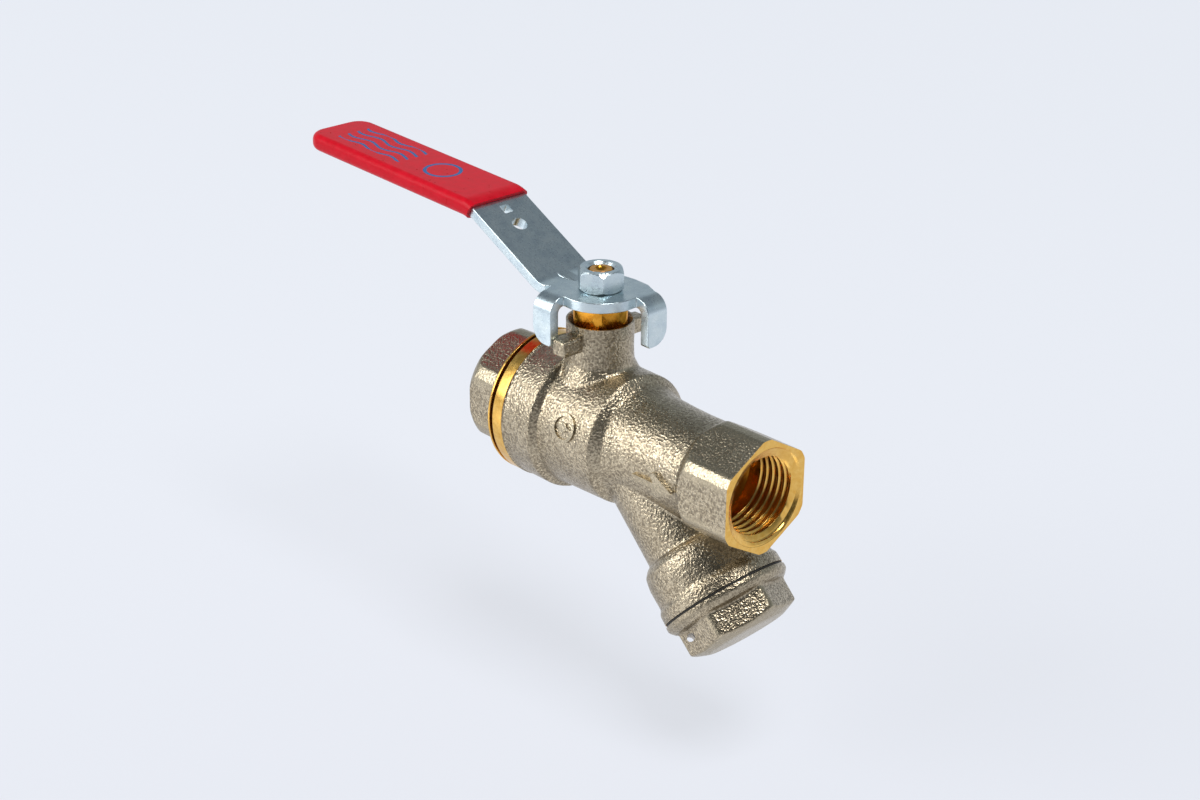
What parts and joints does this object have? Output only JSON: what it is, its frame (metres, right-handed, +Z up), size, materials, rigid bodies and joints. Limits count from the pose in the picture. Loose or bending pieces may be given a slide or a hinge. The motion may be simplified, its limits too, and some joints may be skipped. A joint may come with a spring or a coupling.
{
  "type": "y strainer ball valve",
  "caption": "Quarter-turn lever ball valve with a built-in Y strainer: female pipe threads, angled branch with a hexagonal cap and a removable screen.",
  "frame": {"origin": "the ball's centre, where the pipe's axis crosses the stem's axis", "axes": "+X along the pipe to the outlet, +Z up the stem, +Y across the pipe; the strainer's branch slants down towards +X"},
  "size_m": [0.1571, 0.0354, 0.0942],
  "materials": {
    "nickel_plated_brass": "forged, shot-blasted and satin nickel-plated",
    "bright_brass": "machined",
    "chromed_brass": "polished",
    "zinc_plated_steel": "bright zinc-plated",
    "stainless_steel": "perforated sheet, dull",
    "red_pvc": "dipped, satin gloss",
    "white_ptfe": "turned",
    "black_rubber": "moulded"
  },
  "bodies": {
    "valve_body": {"body": "nickel_plated_brass", "inlet_connector": "nickel_plated_brass", "connector_o_ring": "black_rubber", "inlet_seat": "white_ptfe", "outlet_seat": "white_ptfe", "stem_thrust_washer": "white_ptfe", "packing_ring_lower": "white_ptfe", "packing_ring_upper": "white_ptfe", "gland_nut": "bright_brass"},
    "stem_and_lever": {"stem": "bright_brass", "stem_o_ring": "black_rubber", "lever": "zinc_plated_steel", "lever_sleeve": "red_pvc", "lever_nut": "zinc_plated_steel"},
    "ball": {"ball": "chromed_brass"},
    "screen": {"strainer_screen": "stainless_steel", "screen_upper_ring": "stainless_steel", "screen_lower_ring": "stainless_steel"},
    "cap": {"strainer_cap": "nickel_plated_brass", "cap_gasket": "black_rubber"}
  },
  "joints": [
    {"name": "lever_turn", "type": "hinge", "parent": "valve_body", "child": "stem_and_lever", "pos_m": [0, 0, 0], "axis": [0, 0, -1], "range_deg": [0, 90]},
    {"name": "ball_turn", "type": "hinge", "parent": "valve_body", "child": "ball", "pos_m": [0, 0, 0], "axis": [0, 0, -1], "range_deg": [0, 90]},
    {"name": "screen_travel", "type": "slide", "parent": "valve_body", "child": "screen", "axis": [0.7157, 0, -0.6984], "range_m": [0, 0.033]},
    {"name": "cap_turn", "type": "hinge", "parent": "screen", "child": "cap", "pos_m": [0.0126, 0, 0], "axis": [0.7157, 0, -0.6984], "range_deg": [0, 7950]}
  ],
  "couplings": [
    {"joint": "ball_turn", "follows": "lever_turn", "ratio": 1},
    {"joint": "cap_turn", "follows": "screen_travel", "rad_per_m": 4188.8}
  ]
}
